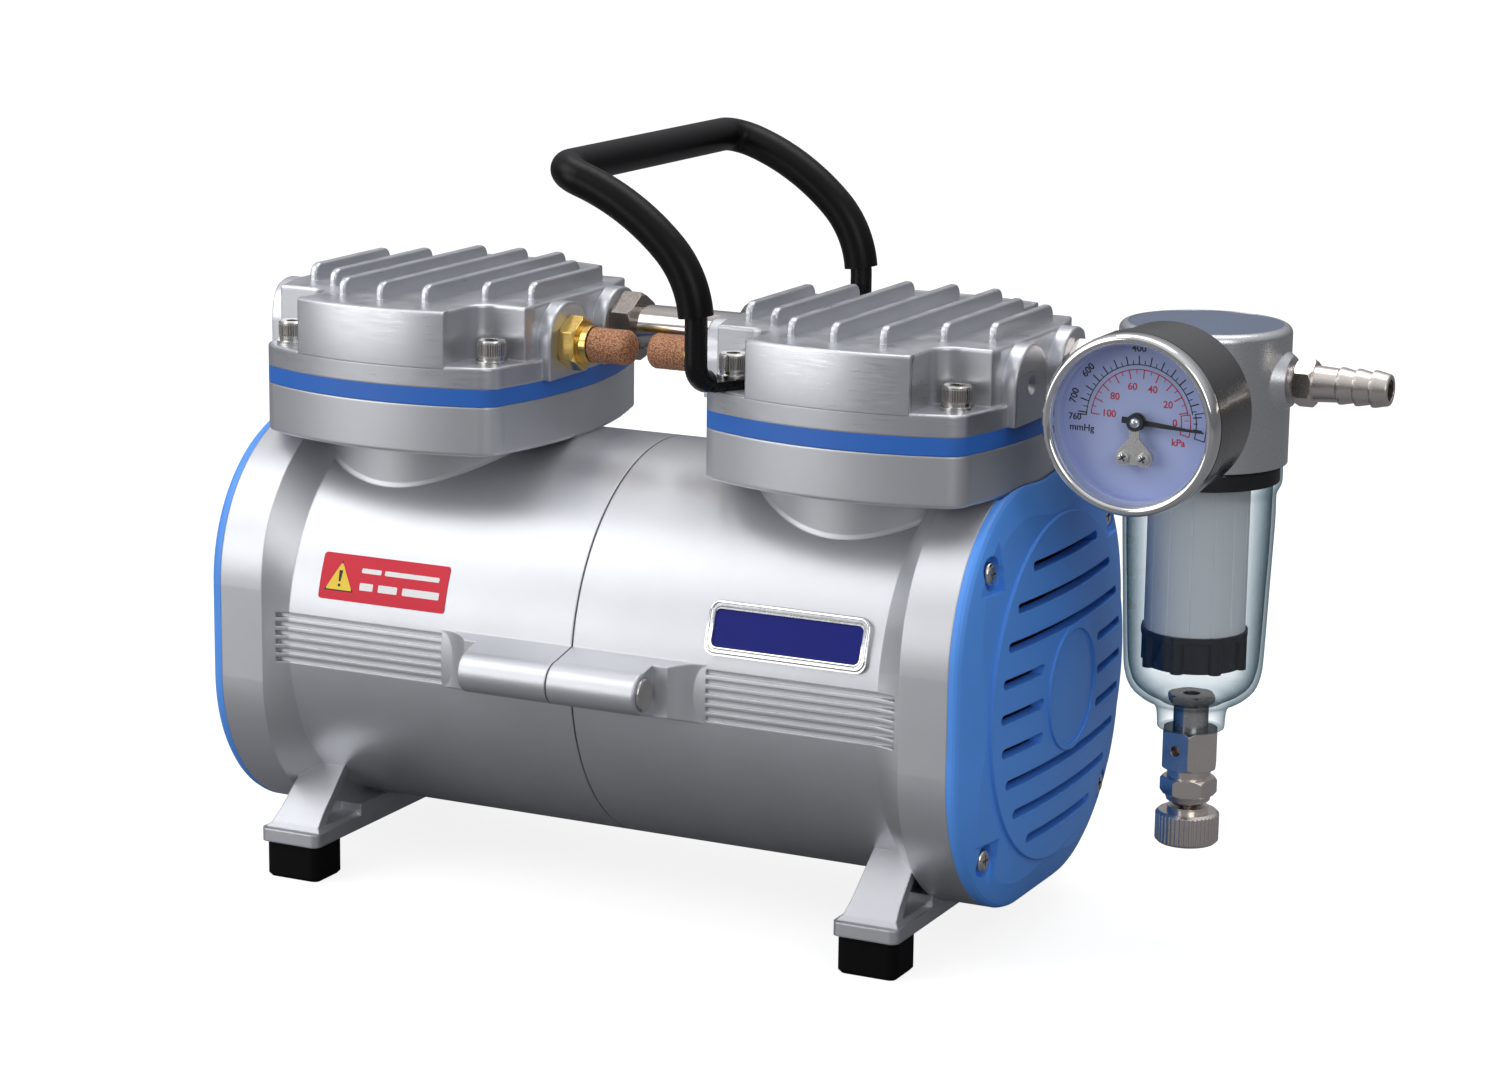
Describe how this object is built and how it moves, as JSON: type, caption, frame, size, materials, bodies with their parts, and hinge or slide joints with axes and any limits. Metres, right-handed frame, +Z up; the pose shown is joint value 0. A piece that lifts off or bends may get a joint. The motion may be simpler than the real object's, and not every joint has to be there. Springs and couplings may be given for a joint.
{
  "type": "rocking piston vacuum pump",
  "caption": "Twin-cylinder oil-free piston vacuum pump with carry handle, gauge, inlet filter bowl, drain valve and hose barb.",
  "frame": {"origin": "centre of the four rubber feet on the ground plane", "axes": "+X along the crankshaft towards the filter, -Y the side with the gauge dial and nameplate, +Z up"},
  "size_m": [0.3646, 0.1556, 0.237],
  "materials": {
    "bowl_seal": "black rubber",
    "cable_gland": "black nylon",
    "capacitor": "plastic can",
    "caution_label": "printed label",
    "connecting_pipe": "polished nickel tube",
    "cooling_fans": "black moulding",
    "cover_screws": "plated steel",
    "cylinder_sleeves": "anodised bore",
    "drain_body": "nickel plated brass",
    "drain_knob": "knurled, nickel plated brass",
    "drain_needle": "nickel plated brass",
    "eccentrics": "cast iron",
    "element_retainers": "dark moulding",
    "filter_bowl": "clear smoky polycarbonate",
    "filter_element": "white porous element",
    "filter_head": "satin metallic silver paint",
    "filter_nipple": "nickel plated brass",
    "filter_top_disc": "grey-blue label disc",
    "foot_screws": "plated steel",
    "gauge_bezel": "polished chrome",
    "gauge_bridge": "plated steel",
    "gauge_case": "gloss black",
    "gauge_dial": "pale blue with printed scales",
    "gauge_lens": "clear",
    "gauge_movement": "brass",
    "gauge_pointer": "black",
    "handle_frame": "black coated steel rod",
    "handle_grip": "black sleeve",
    "head_screws": "bright plated socket screws and washers",
    "hose_barb": "nickel plated brass",
    "left_connecting_rod": "die casting",
    "left_cylinder_head": "satin metallic silver paint on cast aluminium",
    "left_end_cover": "satin blue paint",
    "left_housing": "satin metallic silver paint on cast aluminium",
    "left_piston_clamp": "machined",
    "left_piston_cup": "filled PTFE",
    "left_rod_bearing": "bearing steel",
    "motor_shaft": "ground steel",
    "nameplate_face": "navy gloss",
    "nameplate_frame": "silver rim",
    "pipe_nuts": "dark nickel plating",
    "power_switch_body": "black",
    "power_switch_rocker": "black gloss",
    "reed_valves": "spring steel",
    "right_connecting_rod": "die casting",
    "right_cylinder_head": "satin metallic silver paint on cast aluminium",
    "right_end_cover": "satin blue paint",
    "right_housing": "satin metallic silver paint on cast aluminium",
    "right_piston_clamp": "machined",
    "right_piston_cup": "filled PTFE",
    "right_rod_bearing": "bearing steel",
    "rotor_core": "laminations with cast cage",
    "rubber_feet": "black rubber",
    "shaft_bearings": "bearing steel",
    "silencer_elements": "sintered bronze, granular",
    "silencer_fittings": "bright turned brass",
    "stator_core": "lacquered laminations",
    "stator_windings": "enamelled copper wire",
    "tie_bolt": "plated steel",
    "valve_plates": "blue painted plate edge"
  },
  "bodies": {
    "pump_body": {"bowl_seal": "bowl_seal", "cable_gland": "cable_gland", "capacitor": "capacitor", "caution_label": "caution_label", "connecting_pipe": "connecting_pipe", "cover_screws": "cover_screws", "cylinder_sleeves": "cylinder_sleeves", "drain_body": "drain_body", "element_retainers": "element_retainers", "filter_bowl": "filter_bowl", "filter_element": "filter_element", "filter_head": "filter_head", "filter_nipple": "filter_nipple", "filter_top_disc": "filter_top_disc", "foot_screws": "foot_screws", "gauge_bezel": "gauge_bezel", "gauge_bridge": "gauge_bridge", "gauge_case": "gauge_case", "gauge_dial": "gauge_dial", "gauge_lens": "gauge_lens", "gauge_movement": "gauge_movement", "handle_frame": "handle_frame", "handle_grip": "handle_grip", "head_screws": "head_screws", "hose_barb": "hose_barb", "left_cylinder_head": "left_cylinder_head", "left_end_cover": "left_end_cover", "left_housing": "left_housing", "nameplate_face": "nameplate_face", "nameplate_frame": "nameplate_frame", "pipe_nuts": "pipe_nuts", "power_switch_body": "power_switch_body", "reed_valves": "reed_valves", "right_cylinder_head": "right_cylinder_head", "right_end_cover": "right_end_cover", "right_housing": "right_housing", "rubber_feet": "rubber_feet", "shaft_bearings": "shaft_bearings", "silencer_elements": "silencer_elements", "silencer_fittings": "silencer_fittings", "stator_core": "stator_core", "stator_windings": "stator_windings", "tie_bolt": "tie_bolt", "valve_plates": "valve_plates"},
    "crankshaft": {"motor_shaft": "motor_shaft", "rotor_core": "rotor_core", "eccentrics": "eccentrics", "cooling_fans": "cooling_fans"},
    "left_rod": {"left_connecting_rod": "left_connecting_rod", "left_rod_bearing": "left_rod_bearing", "left_piston_cup": "left_piston_cup", "left_piston_clamp": "left_piston_clamp"},
    "right_rod": {"right_connecting_rod": "right_connecting_rod", "right_rod_bearing": "right_rod_bearing", "right_piston_cup": "right_piston_cup", "right_piston_clamp": "right_piston_clamp"},
    "pointer": {"gauge_pointer": "gauge_pointer"},
    "knob": {"drain_knob": "drain_knob"},
    "needle": {"drain_needle": "drain_needle"},
    "rocker": {"power_switch_rocker": "power_switch_rocker"}
  },
  "joints": [
    {"name": "crank_spin", "type": "hinge", "parent": "pump_body", "child": "crankshaft", "pos_m": [0, 0, 0.0787], "axis": [1, 0, 0], "continuous": true},
    {"name": "left_crank_pin", "type": "hinge", "parent": "crankshaft", "child": "left_rod", "pos_m": [-0.0773, 0, 0.0747], "axis": [1, 0, 0], "continuous": true, "deforming": ["left_piston_cup"]},
    {"name": "right_crank_pin", "type": "hinge", "parent": "crankshaft", "child": "right_rod", "pos_m": [0.0773, 0, 0.0827], "axis": [1, 0, 0], "continuous": true, "deforming": ["right_piston_cup"]},
    {"name": "pointer_turn", "type": "hinge", "parent": "pump_body", "child": "pointer", "pos_m": [0.1694, -0.039, 0.1692], "axis": [0, -1, 0], "range_deg": [0, 188]},
    {"name": "drain_knob_turn", "type": "hinge", "parent": "pump_body", "child": "knob", "pos_m": [0.1694, 0.0176, 0.0357], "axis": [0, 0, 1], "range_deg": [0, 360]},
    {"name": "drain_needle_lift", "type": "slide", "parent": "pump_body", "child": "needle", "axis": [0, 0, -1], "range_m": [0, 0.001]},
    {"name": "power_switch", "type": "hinge", "parent": "pump_body", "child": "rocker", "pos_m": [0.08, 0.062, 0.0787], "axis": [0, 0, -1], "range_deg": [0, 14]}
  ],
  "couplings": [
    {"joint": "left_crank_pin", "follows": "crank_spin", "ratio": -1},
    {"joint": "right_crank_pin", "follows": "crank_spin", "ratio": -1},
    {"joint": "drain_needle_lift", "follows": "drain_knob_turn", "m_per_rad": 0.00015915}
  ]
}
